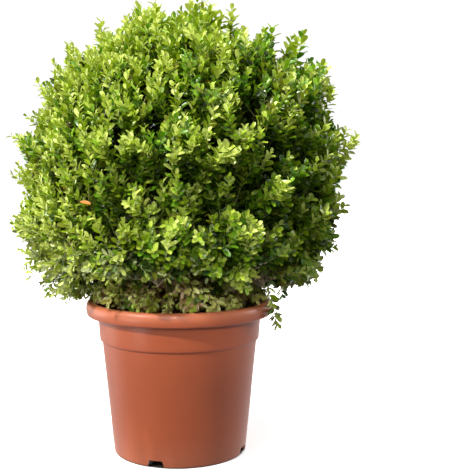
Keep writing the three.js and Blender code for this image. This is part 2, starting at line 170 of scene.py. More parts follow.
HOLLOWS = (
    # where the ball is open, its leaves darker as painted shade: elevation, azimuth, half-width in degrees,
    # depth
    (39, 34, 7, 0.12), (29, 26, 5, 0.13), (17, 28, 5, 0.1), (10, 25, 4, 0.12), (8, 30, 5, 0.11),
    (1, 22, 4, 0.13), (-5, 22, 5, 0.14), (-3, 13, 5, 0.12), (26, 33, 5, 0.1), (33, -6, 5, 0.1),
    (23, -5, 4, 0.1), (1, -12, 6, 0.14), (-10, -4, 5, 0.12), (-4, 8, 5, 0.09), (-23, -19, 5, 0.09),
    (-7, -30, 5, 0.12), (-10, -21, 5, 0.12), (-13, 31, 6, 0.12), (-8, 44, 6, 0.09), (-23, 31, 6, 0.13),
    (-16, 44, 7, 0.1), (-18, 13, 5, 0.12), (-28, 3, 6, 0.09), (-30, 43, 6, 0.1), (11, 5, 3, 0.07),
    (8, 42, 5, 0.08),
)
SPRAYS = (
    # where young bright shoots stand out of it: elevation, azimuth, half-width in degrees, vigour from 0 to 1
    (8, 13, 5, 0.5), (16, 12, 4, 0.7), (15, -19, 4, 0.6), (18, 45, 7, 1), (-5, 34, 5, 0.7),
    (-22, 9, 4, 0.5), (9, 0, 6, 1), (-10, -12, 5, 0.6), (-13, 4, 5, 0.5), (-14, 20, 4, 1),
    (-26, -17, 5, 0.4), (-20, -6, 4, 0.5), (3, 33, 5, 0.8), (18, -18, 6, 0.7), (23, 17, 5, 0.6),
    (34, 60, 6, 0.6), (-33, 21, 6, 0.9), (22, 2, 5, 0.6), (2, -46, 9, 0.7), (-29, -49, 9, 0.8),
)
FACE_SPRAYS = (
    # single bright sprays on the front of it: elevation, azimuth, and reach as a share of the face's
    (9, 13, 1.03), (30, 62, 1.02), (11, 4, 1.03), (-15, 25, 1.01), (-15, -3, 1.0),
    (-34, 23, 1.0), (-3, 33, 1.03), (10, -14, 1.01), (19, 46, 1.0),
)
BASAL_TWIGS = 420
BASAL_REACH, REACH_RANGE = 62, 66  # of their tips from the axis
BASAL_HEIGHT, HEIGHT_RANGE = 224, 46
RIM_REACH, OVER_RIM = 112, 238  # past this reach they stay above the rim
BASAL_FOOT, BASAL_TAPER = 1.35, 0.75  # of their radius
HANGING_ROOT = (-38, 196)  # elevation and reach
BRANCH_FOOT, BRANCH_TIP, BRANCH_WANDER = 2.4, 1.1, 3

# Leaves
MOST_PAIRS = 9
INTERNODE = 5.9
INNER_PAIRS, INNER_INTERNODE = 5, 8.5
BASAL_INTERNODE = 6.5
LEAF_LENGTH = 12.6
LEAF_WIDTH = 0.52  # of its length, at the middle of the ball
LEAF_ROWS = np.array([0.24, 0.56, 0.88])
LEAF_HALF_WIDTHS = np.array([0.36, 0.5, 0.37])
LEAF_FOLD = 0.38
LEAF_CURL, CURL_SCATTER = 0.1, 0.12
LENGTH_SCATTER, WIDTH_SCATTER = 0.13, 0.14
TIP_SPREAD, MORE_AT_FOOT, SPREAD_SCATTER = 30, 32, 9  # degrees between a leaf and its stem
LEAF_LIGHT = np.array([-0.3, -0.2, 0.7])  # where all leaves turn a little
LIGHT_THROUGH = 0.25
MOST_LEAVES = 15800  # in one piece
TINTS = (
    # name, colour of the face, colour of the light through it. The first six go from light to dark.
    ("leaf_sunlit_tip", (0.57, 0.665, 0.15), (0.66, 0.78, 0.1)),
    ("leaf_fresh", (0.415, 0.535, 0.06), (0.5, 0.645, 0.035)),
    ("leaf_bright", (0.268, 0.395, 0.014), (0.348, 0.51, 0.008)),
    ("leaf_middle", (0.143, 0.262, 0.009), (0.188, 0.355, 0.006)),
    ("leaf_deep", (0.073, 0.149, 0.006), (0.095, 0.195, 0.004)),
    ("leaf_shade", (0.04, 0.075, 0.008), (0.045, 0.09, 0.005)),
    ("leaf_gloom", (0.024, 0.034, 0.008), (0.02, 0.034, 0.005)),
    ("leaf_olive", (0.62, 0.61, 0.15), (0.66, 0.66, 0.1)),
    ("leaf_grey_green", (0.4, 0.47, 0.2), (0.42, 0.5, 0.13)),
    ("leaf_dead", (0.6, 0.24, 0.06), (0.6, 0.22, 0.04)),
    ("leaf_dry", (0.46, 0.3, 0.12), (0.3, 0.17, 0.05)),
    ("leaf_cool_bright", (0.218, 0.406, 0.02), (0.298, 0.55, 0.012)),
    ("leaf_cool_middle", (0.115, 0.268, 0.01), (0.145, 0.363, 0.006)),
    ("leaf_cool_deep", (0.052, 0.149, 0.008), (0.062, 0.197, 0.005)),
    ("leaf_warm_middle", (0.235, 0.266, 0.018), (0.3, 0.34, 0.01)),
    ("leaf_warm_deep", (0.12, 0.137, 0.012), (0.155, 0.17, 0.008)),
)
SUNLIT, FRESH, DEEP, SHADE, GLOOM, OLIVE, GREY_GREEN, DEAD, DRY, WARM = 0, 1, 4, 5, 6, 7, 8, 9, 10, 14
COOLER = np.array([0, 1, 11, 12, 13, 5])  # what stands in for the first six
WARMER = np.array([0, 1, 2, 14, 15, 5])
DEAD_LEAF = np.array([-124.0, -222.0, 387.0])  # the foot of a dead leaf that lies caught in the face
FEWEST_DEAD = 0.0001

# Camera and light
CAMERA_PLACE = (0.0, -1.3376, 0.4384)
CAMERA_PITCH = -4.8
CAMERA_YAW = 3.585
CAMERA_LENS = 68.23
FLOOR_HALF_SIDE = 9000
FLOOR_GLOW = 0.58
LIGHT_ABOVE = 0.75
LIGHT_BELOW = 0.06
WHITE = 1.05  # the strength of what the camera sees behind the floor

# Numbers and directions


def draw(stream, counts):
    """Repeatable numbers from 0 to 1, one for each count: the same hash as the solids use."""
    u = np.uint64
    mask = u(0xFFFFFFFF)
    t = (u(stream) * u(0x9E3779B1) + (np.asarray(counts, dtype=u) + u(1)) * u(0x6D2B79F5)) & mask
    t = ((t ^ (t >> u(15))) * (t | u(1))) & mask
    t = t ^ ((t + (((t ^ (t >> u(7))) * (t | u(61))) & mask)) & mask)
    return ((t ^ (t >> u(14))) & mask).astype(float) / 2**32


def swing(stream, counts):
    """The same, from -1 to 1."""
    return 2 * draw(stream, counts) - 1


def chance(stream, counts, stride=3):
    """A vector of three such numbers for each count."""
    return np.stack([swing(stream, stride * counts + k) for k in range(3)], -1)


def around(radius, angle, height):
    """Points about Z: (r sin a, -r cos a, height)."""
    return np.stack(np.broadcast_arrays(radius * np.sin(angle), -radius * np.cos(angle), height), -1)


def directions(elevation, azimuth):
    """Unit vectors from elevation and azimuth in radians: (cos e sin a, -cos e cos a, sin e)."""
    return around(np.cos(elevation), azimuth, np.sin(elevation))


def unit(vectors):
    """The vectors at length 1."""
    return vectors / np.maximum(np.linalg.norm(vectors, axis=-1, keepdims=True), 1e-9)


def across(vectors, stream, counts):
    """A unit vector square to each vector, turned by chance."""
    return unit(np.cross(vectors, chance(stream, counts) + OFF_ZERO))


def squared(vectors, axes):
    """The vectors without their part along the unit axes, at length 1."""
    return unit(vectors - axes * np.sum(vectors * axes, -1, keepdims=True))


def smooth(x, low, high):
    """0 below low, 1 above high, and 3t^2 - 2t^3 between."""
    t = np.clip((x - low) / (high - low), 0, 1)
    return t * t * (3 - 2 * t)


def ripple(points, stream, wavelength):
    """A smooth field from about -1 to 1: the mean of nine sine waves in random directions, times 1.6."""
    count = np.arange(9)
    pitch = TURN / (wavelength * (0.7 + 0.6 * draw(stream, 5 * count + 3)))
    phase = TURN * draw(stream, 5 * count + 4)
    return 1.6 * np.mean(np.sin((points @ unit(chance(stream, count, 5)).T) * pitch + phase), -1)


def wander(points, stream, wavelength):
    """A vector of three such fields."""
    return np.stack([ripple(points, stream + k, wavelength) for k in range(3)], -1)


# Meshes


def make_piece(name, points, faces, finish, uv=None):
    """A mesh object at the origin. points are in millimetres; faces is a list of arrays of corners."""
    mesh = bpy.data.meshes.new(name)
    sizes = np.concatenate([np.full(len(some), some.shape[1]) for some in faces])
    corners = np.concatenate([some.ravel() for some in faces]).astype(np.int32)
    mesh.vertices.add(len(points))
    mesh.vertices.foreach_set("co", (points * MM).astype(np.float32).ravel())
    mesh.loops.add(len(corners))
    mesh.loops.foreach_set("vertex_index", corners)
    mesh.polygons.add(len(sizes))
    mesh.polygons.foreach_set("loop_start", (np.cumsum(sizes) - sizes).astype(np.int32))
    mesh.polygons.foreach_set("use_smooth", np.ones(len(sizes), bool))
    if uv is not None:
        layer = mesh.uv_layers.new(name="surface")
        layer.data.foreach_set("uv", uv.astype(np.float32)[corners].ravel())
    mesh.update(calc_edges=True)
    mesh.validate()
    mesh.materials.append(finish)
    piece = bpy.data.objects.new(name, mesh)
    bpy.context.scene.collection.objects.link(piece)
    return piece


def ring_faces(rings, sides):
    """Quads between rings of points that are held ring by ring."""
    r, c = np.meshgrid(np.arange(rings - 1), np.arange(sides), indexing="ij")
    n, here, above = (c + 1) % sides, r * sides, (r + 1) * sides
    return np.stack([here + c, here + n, above + n, above + c], -1).reshape(-1, 4)


def round_body(rings, low, high):
    """A closed body: quads between its rings, and at its ends fans to poles on the axis, at low and high."""
    count, sides = rings.shape[:2]
    n, here = count * sides, np.arange(sides)
    there = (here + 1) % sides
    first_fan = np.stack([np.full(sides, n), there, here], -1)
    last_fan = np.stack([np.full(sides, n + 1), n - sides + here, n - sides + there], -1)
    points = np.concatenate([rings.reshape(-1, 3), [[0, 0, low], [0, 0, high]]])
    return points, [ring_faces(count, sides), first_fan, last_fan]


def bezier(a, b, c, t):
    """Points (1 - t)^2 a + 2t(1 - t) b + t^2 c, n by k by 3. a, b and c are n by 3 and t is n or 1 by k."""
    t = t[..., None]
    a, b, c = a[:, None], b[:, None], c[:, None]
    return (1 - t) ** 2 * a + 2 * t * (1 - t) * b + t**2 * c


def bezier_slope(a, b, c, t):
    """The unit tangents of those curves."""
    t = t[..., None]
    return unit(2 * (1 - t) * (b - a)[:, None] + 2 * t * (c - b)[:, None])


def tubes(centres, radii, sides):
    """Closed tubes, all at once: rings of `sides` points at centre + r (N cos v + B sin v).

    centres is n by k by 3. radii is n or 1 by k, or n by k by sides for a relief. N is square to the tangent
    and to one reference vector for each tube, and B to both.
    """
    n, k = centres.shape[:2]
    tangent = unit(np.gradient(centres, axis=1))
    whole = unit(centres[:, -1] - centres[:, 0])
    helper = np.where(np.abs(whole[:, 2:3]) < 0.8, [UP], [[1.0, 0.0, 0.0]])
    normal = unit(np.cross(tangent, helper[:, None]))
    binormal = np.cross(tangent, normal)
    angle = (np.arange(sides) * TURN / sides)[:, None]
    if radii.ndim == 2:
        radii = radii[..., None]
    spokes = normal[:, :, None] * np.cos(angle) + binormal[:, :, None] * np.sin(angle)
    points = centres[:, :, None] + spokes * radii[..., None]
    fan = np.stack([np.zeros(sides - 2, int), np.arange(1, sides - 1), np.arange(2, sides)], -1)
    caps = np.concatenate([fan[:, ::-1], fan + (k - 1) * sides])
    step = (np.arange(n) * k * sides)[:, None, None]
    return points.reshape(-1, 3), [(ring_faces(k, sides) + step).reshape(-1, 4), (caps + step).reshape(-1, 3)]


def joined(parts):
    """Several (points, faces) as one: the faces of each size come together."""
    points, faces, start = [], {}, 0
    for some, kinds in parts:
        points.append(some)
        for kind in kinds:
            faces.setdefault(kind.shape[1], []).append(kind + start)
        start += len(some)
    return np.concatenate(points), [np.concatenate(same) for same in faces.values()]


# Finishes


class Value:
    """A socket whose value changes over the surface. + - * on numbers add Math nodes."""

    def __init__(self, nodes, socket):
        self.nodes, self.socket = nodes, socket

    def _math(self, operation, a, b):
        return self.nodes.node("ShaderNodeMath", {"operation": operation}, {0: a, 1: b})

    def __add__(self, other):
        return self._math("ADD", self, other)

    def __rsub__(self, other):
        return self._math("SUBTRACT", other, self)

    def __mul__(self, other):
        return self._math("MULTIPLY", self, other)

    __radd__, __rmul__ = __add__, __mul__


class Nodes:
    """The nodes of a material or a world."""

    def __init__(self, tree):
        self.tree = tree

    def put(self, socket, value):
        """Links a value to a socket, or sets a plain number or colour on it."""
        if isinstance(value, Value):
            self.tree.links.new(value.socket, socket)
        else:
            socket.default_value = value

    def node(self, kind, settings=None, inputs=None, out=0):
        """A new node: its settings first, then its inputs. Returns the output numbered or named by out."""
        made = self.tree.nodes.new(kind)
        for key, value in (settings or {}).items():
            if key == "stops":
                elements = made.color_ramp.elements
                for place, colour in value[1:-1]:
                    elements.new(place).color = colour
                for end in (0, -1):
                    elements[end].position, elements[end].color = value[end]
            else:
                setattr(made, key, value)
        for key, value in (inputs or {}).items():
            self.put(made.inputs[key], value)
        return Value(self, made.outputs[out])

    def place(self, stretch=(1, 1, 1), source="Object"):
        """Coordinates in metres, or the piece's own UV, times stretch."""
        where = self.node("ShaderNodeTexCoord", out=source)
        return self.node("ShaderNodeVectorMath", {"operation": "MULTIPLY"}, {0: where, 1: stretch})

    def part(self, vector, number):
        """One number of a vector: 0 is x, 1 is y and 2 is z."""
        return self.node("ShaderNodeSeparateXYZ", inputs={0: vector}, out=number)

    def length(self, vector):
        """A vector's length."""
        return self.node("ShaderNodeVectorMath", {"operation": "LENGTH"}, {0: vector}, out=1)

    def span(self, value, low, high):
        """0 to 1 as a value goes from low to high, and no further."""
        return self.node("ShaderNodeMapRange", inputs={"Value": value, "From Min": low, "From Max": high})

    def noise(self, scale, detail=3, roughness=0.5, at=None):
        """Noise from 0 to 1, with `scale` features to the metre."""
        inputs = {"Scale": scale, "Detail": detail, "Roughness": roughness, "Vector": at or self.place()}
        return self.node("ShaderNodeTexNoise", inputs=inputs)

    def ramp(self, value, *stops):
        """A colour for each height of a value."""
        return self.node("ShaderNodeValToRGB", {"stops": stops}, {"Fac": value})

    def mix(self, share, a, b):
        """Colour a turning to b as share goes from 0 to 1."""
        return self.node("ShaderNodeMix", {"data_type": "RGBA"}, {0: share, 6: a, 7: b}, out=2)


class Finish(Nodes):
    """One material, with its Principled shader."""

    def __init__(self, name, **constants):
        self.material = bpy.data.materials.new(name)
        self.material.use_nodes = True
        super().__init__(self.material.node_tree)
        self.shader = self.tree.nodes["Principled BSDF"]
        self.paint(**constants)

    def paint(self, **sockets):
        """Sets or links the shader's sockets. An underscore stands for a space."""
        for name, value in sockets.items():
            self.put(self.shader.inputs[name.replace("_", " ")], value)

    def bump(self, height, strength, distance):
        """Relief from a height field. distance is in metres."""
        inputs = {"Height": height, "Strength": strength, "Distance": distance}
        self.paint(Normal=self.node("ShaderNodeBump", inputs=inputs))


def plastic_finish():
    """Terracotta-coloured satin plastic, faintly mottled, with fine turned ribs.

    The lip's crest is painted pale, a painted highlight, and the foot is dusty. The notches and the lowest
    edge are painted near-black, a painted shade.
    """
    painted_highlight_heights, dust_ends, notch_top, notch_wall, edge_ends = (0.213, 0.2295), 0.05, 0.0125, 0.0978, 0.0027
    plastic = Finish("terracotta_plastic", Specular_IOR_Level=0.43)
    specks = plastic.noise(90, 5, 0.7)
    height = plastic.part(plastic.place(), 2)
    radius = plastic.length(plastic.place((1, 1, 0)))
    colour = plastic.ramp(
        plastic.noise(14, 4, 0.6),
        (0.3, (0.39, 0.081, 0.027, 1)),
        (0.55, (0.42, 0.089, 0.03, 1)),
        (0.75, (0.445, 0.097, 0.035, 1)),
    )
    # painted highlight: the lip's crest is painted paler, for the light that falls on it from above
    colour = plastic.mix(plastic.span(height, *painted_highlight_heights), colour, (0.62, 0.185, 0.083, 1))
    dust = 0.22 * plastic.span(height, dust_ends, 0)
    colour = plastic.mix(dust * specks, colour, (0.42, 0.3, 0.22, 1))
    # painted shade: the notches' insides and the foot's lowest edge are painted near-black, and rougher
    inside = plastic.span(radius, notch_wall, notch_wall - 0.0013)
    foot = plastic.span(height, notch_top, notch_top - 0.001)
    painted_shade = inside * foot + 0.75 * plastic.span(height, edge_ends, edge_ends - 0.0015)
    colour = plastic.mix(painted_shade * 0.9, colour, (0.02, 0.01, 0.006, 1))
    plastic.paint(Base_Color=colour, Roughness=0.3 + 0.16 * specks + painted_shade * 0.5)
    ribs = plastic.noise(1, 2, 0.5, plastic.place((1.5, 1.5, 460)))
    plastic.bump(ribs * 0.8 + plastic.noise(900, 2, 0.5) * 0.25, 0.28, 0.0006)
    return plastic.material


def compost_finish():
    """Moist dark compost: crumbs in browns, a few pale fibres, and a rough relief."""
    compost = Finish("moist_compost", Roughness=0.95, Specular_IOR_Level=0.2)
    crumbs = compost.noise(160, 6, 0.7)
    colour = compost.ramp(
        crumbs,
        (0.3, (0.06, 0.032, 0.018, 1)),
        (0.5, (0.22, 0.12, 0.06, 1)),
        (0.65, (0.4, 0.24, 0.12, 1)),
        (0.78, (0.5, 0.32, 0.19, 1)),
    )
    compost.paint(Base_Color=colour)
    compost.bump(crumbs + 0.5 * compost.noise(520, 3, 0.6), 0.9, 0.004)
    return compost.material


def bark_finish():
    """Grey-brown bark, streaked along the limb by its own UV (round in u, along in v)."""
    bark = Finish("grey_bark", Roughness=0.85, Specular_IOR_Level=0.25)
    streaks = bark.noise(420, 5, 0.65, bark.place((3.0, 0.35, 1), "UV"))
    colour = bark.ramp(streaks, (0.32, (0.05, 0.035, 0.02, 1)), (0.6, (0.26, 0.2, 0.12, 1)))
    bark.paint(Base_Color=bark.mix(bark.noise(40) * 0.45, colour, (0.2, 0.19, 0.12, 1)))
    bark.bump(streaks, 0.8, 0.0012)
    return bark.material


def shoot_finish():
    """Young stems, brown at the foot and green at the tip (v of their UV), low in the ball pale brown:
    painted light.
    """
    green = Finish("green_shoot_bark", Roughness=0.6, Specular_IOR_Level=0.35)
    along = green.part(green.place(source="UV"), 1)
    patches = along + 0.3 * green.noise(60)
    young = green.ramp(patches, (0.35, (0.2, 0.15, 0.065, 1)), (0.85, (0.22, 0.28, 0.05, 1)))
    low = green.span(green.part(green.place(), 2), 0.38, 0.3)
    # painted light: stems low in the ball are painted pale brown, for the sunlit look of the low twigs
    green.paint(Base_Color=green.mix(low * 0.8, young, (0.52, 0.42, 0.26, 1)))
    return green.material


def twig_finish():
    """Patchy brown twigs."""
    brown = Finish("twig_bark", Roughness=0.85, Specular_IOR_Level=0.2)
    patches = brown.ramp(brown.noise(90), (0.35, (0.12, 0.08, 0.045, 1)), (0.7, (0.36, 0.26, 0.16, 1)))
    brown.paint(Base_Color=patches)
    brown.bump(brown.noise(700), 0.6, 0.0006)
    return brown.material


def leaf_finish(name, colour, glow):
    """One plain leaf tint: a waxy face over light that comes through the blade."""
    leaf = Finish(name, Base_Color=(*colour, 1), Roughness=0.3, Specular_IOR_Level=0.5)
    thin = leaf.node("ShaderNodeBsdfTranslucent", inputs={"Color": (*glow, 1)})
    face = Value(leaf, leaf.shader.outputs[0])
    both = leaf.node("ShaderNodeMixShader", inputs={0: LIGHT_THROUGH, 1: face, 2: thin})
    leaf.put(leaf.tree.nodes["Material Output"].inputs["Surface"], both)
    return leaf.material


# Pot


def wall_radius(height):
    """The wall's outside below the shoulder: a straight line."""
    return FOOT_RADIUS + (SHOULDER[0] - FOOT_RADIUS) * height / SHOULDER[1]


def bend(start, control, end, steps=8):
    """Points of a quadratic curve in the section, without its start."""
    start, control, end = np.array([[start], [control], [end]])
    return bezier(start, control, end, np.arange(1, steps + 1)[None] / steps)[0]


def pot_section():
    """The section: lines and quadratic curves under the floor, up the wall, over the lip and down inside."""
    wall_foot = (wall_radius(FOOT_ROUNDING), FOOT_ROUNDING)
    wall_floor = (wall_radius(FLOOR_TOP), FLOOR_TOP)
    return np.concatenate(
        [
            UNDERSIDE,
            bend(UNDERSIDE[-1], (FOOT_RADIUS, 0), wall_foot, 5),
            np.linspace(wall_foot, SHOULDER, 25)[1:],
            bend(SHOULDER, STEP, COLLAR_FOOT, 5),
            np.linspace(COLLAR_FOOT, COLLAR_TOP, 7)[1:],
            LIP[:1],
            *[bend(*LIP[k : k + 3]) for k in (0, 2, 4, 6)],
            np.array([COLLAR_TOP, COLLAR_FOOT, SHOULDER, wall_floor]) - [WALL, 0],
            [(0, FLOOR_TOP)],
        ]
    )


def notch_cutters():
    """The drain notches as trapezium blocks, carried inwards from just outside the foot."""
    foot, top = NOTCH_FOOT_WIDTH / 2, NOTCH_TOP_WIDTH / 2
    outline = np.array([(-foot, -1), (foot, -1), (top, NOTCH_HEIGHT), (-top, NOTCH_HEIGHT)])
    near = -(FOOT_RADIUS + WALL)
    block = np.array([(x, y, z) for y in (near, near + NOTCH_DEPTH) for x, z in outline])
    sides = np.array([(0, 1, 2, 3), (7, 6, 5, 4), (0, 4, 5, 1), (1, 5, 6, 2), (2, 6, 7, 3), (3, 7, 4, 0)])
    blocks = []
    for k in range(NOTCHES):
        a = math.radians(FIRST_NOTCH + 360 * k / NOTCHES)
        turn = np.array([(math.cos(a), -math.sin(a), 0), (math.sin(a), math.cos(a), 0), (0, 0, 1)])
        blocks.append((block @ turn.T, [sides]))
    return joined(blocks)


def make_pot():
    """The section carried round Z, less the notches."""
    finish = plastic_finish()
    section = pot_section()
    radius, height = section[1:-1, :1], section[1:-1, 1:]
    rings = around(radius, np.arange(POT_SEGMENTS) * TURN / POT_SEGMENTS, height)
    pot = make_piece("plastic_pot", *round_body(rings, section[0, 1], section[-1, 1]), finish)
    cutters = make_piece("notch_cutters", *notch_cutters(), finish)
    cut = pot.modifiers.new("notches", "BOOLEAN")
    cut.operation, cut.object, cut.solver = "DIFFERENCE", cutters, "EXACT"
    bpy.context.view_layer.update()
    mesh = bpy.data.meshes.new_from_object(pot.evaluated_get(bpy.context.evaluated_depsgraph_get()))
    pot.modifiers.clear()
    pot.data = mesh
    bpy.data.objects.remove(cutters)
    mesh.set_sharp_from_angle(angle=math.radians(SHARP_EDGE))
    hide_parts("pot")
    return pot


# Compost


def compost_top(radius, angle):
    """The height of the compost: mounded to the middle, with ripples of two sizes."""
    flat = around(radius, angle, 0.0)
    mound = COMPOST_EDGE_HEIGHT + (COMPOST_HEIGHT - COMPOST_EDGE_HEIGHT) * (1 - smooth(radius, 40, 124))
    return mound - 0.8 + 1.1 * ripple(flat, 61, 34) + 0.7 * ripple(flat, 62, 11)


def make_compost():
    """Rings just inside the pot's wall from its floor up, closing in over the mounded top, with crumbs."""
    floor = FLOOR_TOP + CLEARANCE
    side = np.array([(wall_radius(FLOOR_TOP), floor), SHOULDER, COLLAR_FOOT]) - [WALL + CLEARANCE, 0]
    angle = np.arange(COMPOST_SEGMENTS) * TURN / COMPOST_SEGMENTS
    radius = np.linspace(COLLAR_TOP[0] - WALL - CLEARANCE, 1.5, COMPOST_RINGS)[:, None]
    height = compost_top(radius, angle)
    rings = np.concatenate([around(side[:, :1], angle, side[:, 1:]), around(radius, angle, height)])
    body = round_body(rings, floor, height[-1].mean())
    compost = make_piece("compost_fill", *joined([body, crumbs()]), compost_finish())
    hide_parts("compost")
    return compost


def crumbs():
    """Loose lumps on the compost: rough eight-cornered stones, pressed flat, each in its own turn."""
    count = np.arange(CRUMBS)
    radius = CRUMBS_REACH * np.sqrt(draw(71, 4 * count))
    angle = TURN * draw(71, 4 * count + 1)
    size = (CRUMB_SIZE + SIZE_RANGE * draw(71, 4 * count + 2) ** 2)[:, None, None]
    cube = np.array([(x, y, z) for x in (-1, 1) for y in (-1, 1) for z in (-1, 1)]) * 0.6
    x, y, z = np.moveaxis(cube + 0.45 * chance(72, 8 * count[:, None] + np.arange(8)), -1, 0)
    spin = TURN * draw(71, 4 * count + 3)[:, None]
    c, s = np.cos(spin), np.sin(spin)
    lump = np.stack([1.4 * (x * c - y * s), x * s + y * c, 0.8 * z], -1)
    points = lump * size + around(radius, angle, compost_top(radius, angle))[:, None]
    box = np.array([(0, 1, 3, 2), (4, 6, 7, 5), (0, 4, 5, 1), (2, 3, 7, 6), (0, 2, 6, 4), (1, 5, 7, 3)])
    return points.reshape(-1, 3), [(box + 8 * count[:, None, None]).reshape(-1, 4)]


# Limbs


def stem_curve():
    """Foot, control and top of the stem: straight up at first, then leaning."""
    foot = np.array([[0, 0, COMPOST_HEIGHT + CLEARANCE]])
    return foot, foot + [[0, 0, STEM_HEIGHT / 2]], foot + [[*STEM_LEAN, STEM_HEIGHT]]


def list_masses():
    """For each mass: its axis, its bough's foot height, foot radius and tip radius."""
    rows = [(up, turn + 360 * k / n, *rest) for n, up, turn, *rest in RINGS for k in range(n)]
    elevation, azimuth, *rest = np.array(rows, float).T
    return directions(np.radians(elevation), np.radians(azimuth)), *rest


AXES, BOUGH_HEIGHTS, BOUGH_FEET, BOUGH_TIPS = list_masses()


def bough_curves():
    """Start, control and tip of every bough: out of the stem, with its swing out before it rises."""
    count = np.arange(len(AXES))
    height = BOUGH_HEIGHTS + FOOT_SCATTER * swing(BOUGH_STREAM, count)
    start = bezier(*stem_curve(), np.minimum(0.95, height / STEM_HEIGHT)[None])[0]
    tip = BALL_CENTRE + BOUGH_REACH * AXES
    length = np.linalg.norm(tip - start, axis=1, keepdims=True)
    outward = AXES * [1, 1, 0]
    return start, (start + tip) / 2 + BOUGH_SAG * length * outward, tip


def ridges(centres, sides, depth, stream):
    """Bark relief, a factor for tubes' radii: 1 + depth f, where a ripple f runs in ridges along the limb."""
    angle = np.arange(sides) * TURN / sides
    along = np.linspace(0, 1, centres.shape[1])[:, None] * 9
    field = np.stack(np.broadcast_arrays(np.cos(angle) * 6, np.sin(angle) * 6, along), -1)
    return 1 + depth * np.stack([ripple(field + 40 * i, stream, 4.0) for i in range(len(centres))])


def tube_uv(n, k, sides, length, radius):
    """UV for n tubes of k rings, in metres: u round and v along. A length of 1 / MM gives v from 0 to 1."""
    u = np.arange(sides) / sides * TURN * radius
    v = np.arange(k)[:, None] / (k - 1) * length
    return np.tile(np.stack(np.broadcast_arrays(u, v), -1).reshape(-1, 2) * MM, (n, 1))


def make_limbs():
    """The stem and the boughs, which run on to the masses' hubs, as ridged tubes that replace their solids.

    The stem's flare has five lobes and fades with the sixth power of the way up. Its top is rounded.
    """
    finish = bark_finish()
    steps, sides = 40, 40
    t = np.linspace(0, 1, steps)[:, None]
    centres = bezier(*stem_curve(), t.T)
    angle = np.arange(sides) * TURN / sides
    flare = FLARE_WIDTH * (1 - t) ** 6 * (1 + LOBE_DEPTH * np.cos(FLARE_LOBES * angle))
    rounding = np.sqrt(np.clip(1 - ((t - STEM_CROWN) / CROWN_LENGTH) ** 2, 0, 1))
    crown = np.where(t > STEM_CROWN, rounding, 1)
    girth = (STEM_RADIUS + flare) * crown * ridges(centres, sides, STEM_RELIEF, 81)
    uv = tube_uv(1, steps, sides, STEM_HEIGHT, STEM_RADIUS)
    stem = make_piece("bark_stem", *tubes(centres, girth, sides), finish, uv)
    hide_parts("stem")

    steps, sides = 36, 12
    t = np.linspace(0, 1, steps)[None]
    centres = bezier(*bough_curves(), t)
    girth = BOUGH_FEET[:, None] + (BOUGH_TIPS - BOUGH_FEET)[:, None] * t
    centres = centres + BOUGH_WANDER * wander(centres, 90, 70) * (np.sin(math.pi * t) ** 2)[..., None]
    girth = girth[..., None] * ridges(centres, sides, BOUGH_RELIEF, 82)
    uv = tube_uv(len(AXES), steps, sides, 220, 4)
    boughs = make_piece("bark_boughs", *tubes(centres, girth, sides), finish, uv)
    levels = zip(("upper", "lower"), RINGS[1:])
    rings = ["top"] + [f"{level}_{k + 1}" for level, (count, *_) in levels for k in range(count)]
    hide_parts(*[f"bough_{ring}" for ring in rings])
    return [stem, boughs], rings


# Twigs and shoots


def fullness(sine):
    """How much further out than a sphere the ball lies, low down."""
    return 1 + SKIRT_BULGE * smooth(-sine, 0.1, 0.45)


def list_twigs():
    """Root, tip, direction and mass of the twigs of the solids: a golden spiral, then the long shoots."""
    count = np.arange(TWIGS)
    elevation = np.arcsin(1 - (count + 0.5) / TWIGS * (1 - LOWEST_SINE))
    elevation = elevation + np.radians(TWIG_JITTER[0] * swing(TWIG_STREAM, 4 * count))
    azimuth = count * GOLDEN_ANGLE + np.radians(TWIG_JITTER[1] * swing(TWIG_STREAM, 4 * count + 1))
    reach = TWIG_REACH + TWIG_SCATTER * swing(TWIG_STREAM, 4 * count + 2)
    up, side, far = np.array(LONG_SHOOTS, float).T
    way = directions(np.append(elevation, np.radians(up)), np.append(azimuth, np.radians(side)))
    full = (BALL_RADIUS * fullness(way[:, 2]))[:, None]
    tip = BALL_CENTRE + way * (full * np.append(reach, far)[:, None] - SOLID_LEAF)
    root = BALL_CENTRE + way * full * TWIG_ROOT_REACH
    root[:, 2] -= TWIG_LIFT * np.linalg.norm(tip - root, axis=1) * np.sqrt(1 - way[:, 2] ** 2)
    return root, tip, way, np.argmax(way @ AXES.T, axis=1)


def shoot_ways(number, stream):
    """Directions dealt along a golden spiral, jittered, and gathered a little to the nearest twig's."""
    count = np.arange(number)
    sine = 1 - (count + 0.5) / number * (1 - SHOOT_LOWEST_SINE)
    elevation = np.arcsin(sine) + np.radians(SHOOT_JITTER * swing(stream, 2 * count))
    jitter = np.radians(SHOOT_JITTER * swing(stream, 2 * count + 1)) / np.maximum(np.cos(elevation), 0.2)
    way = directions(elevation, count * GOLDEN_ANGLE + jitter)
    heads = list_twigs()[2]
    near = heads[np.argmax(way @ heads.T, axis=1)]
    pull = CLUMP_PULL * (0.75 + 0.35 * way[:, :1]) * (1 - 0.8 * smooth(way[:, 2:], 0.3, 0.75))
    return unit(way * (1 - pull) + near * pull)


def outline_share(way):
    """The outline's share of the ball's radius, in full at the outline and fading to 1 at front and back."""
    degrees, shares = np.array(OUTLINE).T
    share = np.interp(np.degrees(np.arctan2(way[:, 0], way[:, 2])), degrees, shares)
    return 1 + (share - 1) * (1 - way[:, 1] ** 2) ** 1.5


def spots(way, rows):
    """A field of round spots at each direction: the greatest of height exp(-(angle / width)^2)."""
    field = np.zeros(len(way))
    for up, side, width, height in rows:
        centre = directions(math.radians(up), math.radians(side))
        off = np.degrees(np.arccos(np.clip(way @ centre, -1, 1)))
        field = np.maximum(field, height * np.exp(-((off / width) ** 2)))
    return field


def bareness(way):
    """The share of shoots missing at each direction: none, but for the thin place low on the left."""
    return 0.62 * smooth(-way[:, 0], 0.25, 0.8) * smooth(-way[:, 2], 0.1, 0.5)


